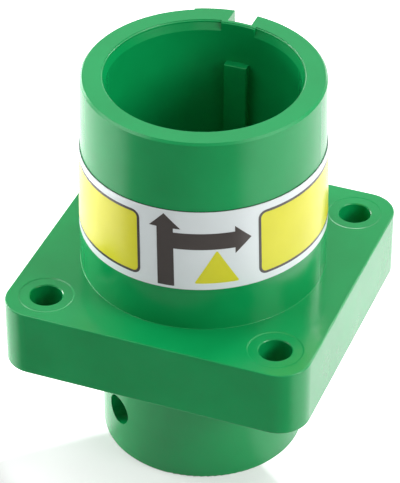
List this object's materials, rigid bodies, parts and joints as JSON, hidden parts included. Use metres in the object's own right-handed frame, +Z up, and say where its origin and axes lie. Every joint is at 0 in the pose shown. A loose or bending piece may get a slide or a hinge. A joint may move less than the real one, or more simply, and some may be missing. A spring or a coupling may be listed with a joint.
{
  "type": "single pole panel connector",
  "caption": "Panel-mount single pole power connector with a round push-and-turn collar, a square flange, a hollow spigot and a pin contact inside.",
  "frame": {"origin": "centre of the spigot's lower ring, on the bore axis", "axes": "+Z up the bore axis toward the open rim, -Y toward the front of the label, the latch notch at +Y"},
  "size_m": [0.084, 0.084, 0.112],
  "materials": {
    "housing": "moulded nylon, satin gloss",
    "wrap_label": "printed film",
    "contact": "silver plated, turned",
    "contact_tip": "moulded",
    "upper_seal_ring": "smooth rubber",
    "lower_seal_ring": "smooth rubber",
    "retaining_washer": "stamped stainless steel",
    "retaining_ring": "dark spring steel",
    "clamp_screw": "black oxide steel"
  },
  "bodies": {
    "root": {"housing": "housing", "wrap_label": "wrap_label", "contact": "contact", "contact_tip": "contact_tip", "upper_seal_ring": "upper_seal_ring", "lower_seal_ring": "lower_seal_ring", "retaining_washer": "retaining_washer", "retaining_ring": "retaining_ring", "clamp_screw": "clamp_screw"}
  },
  "joints": []
}
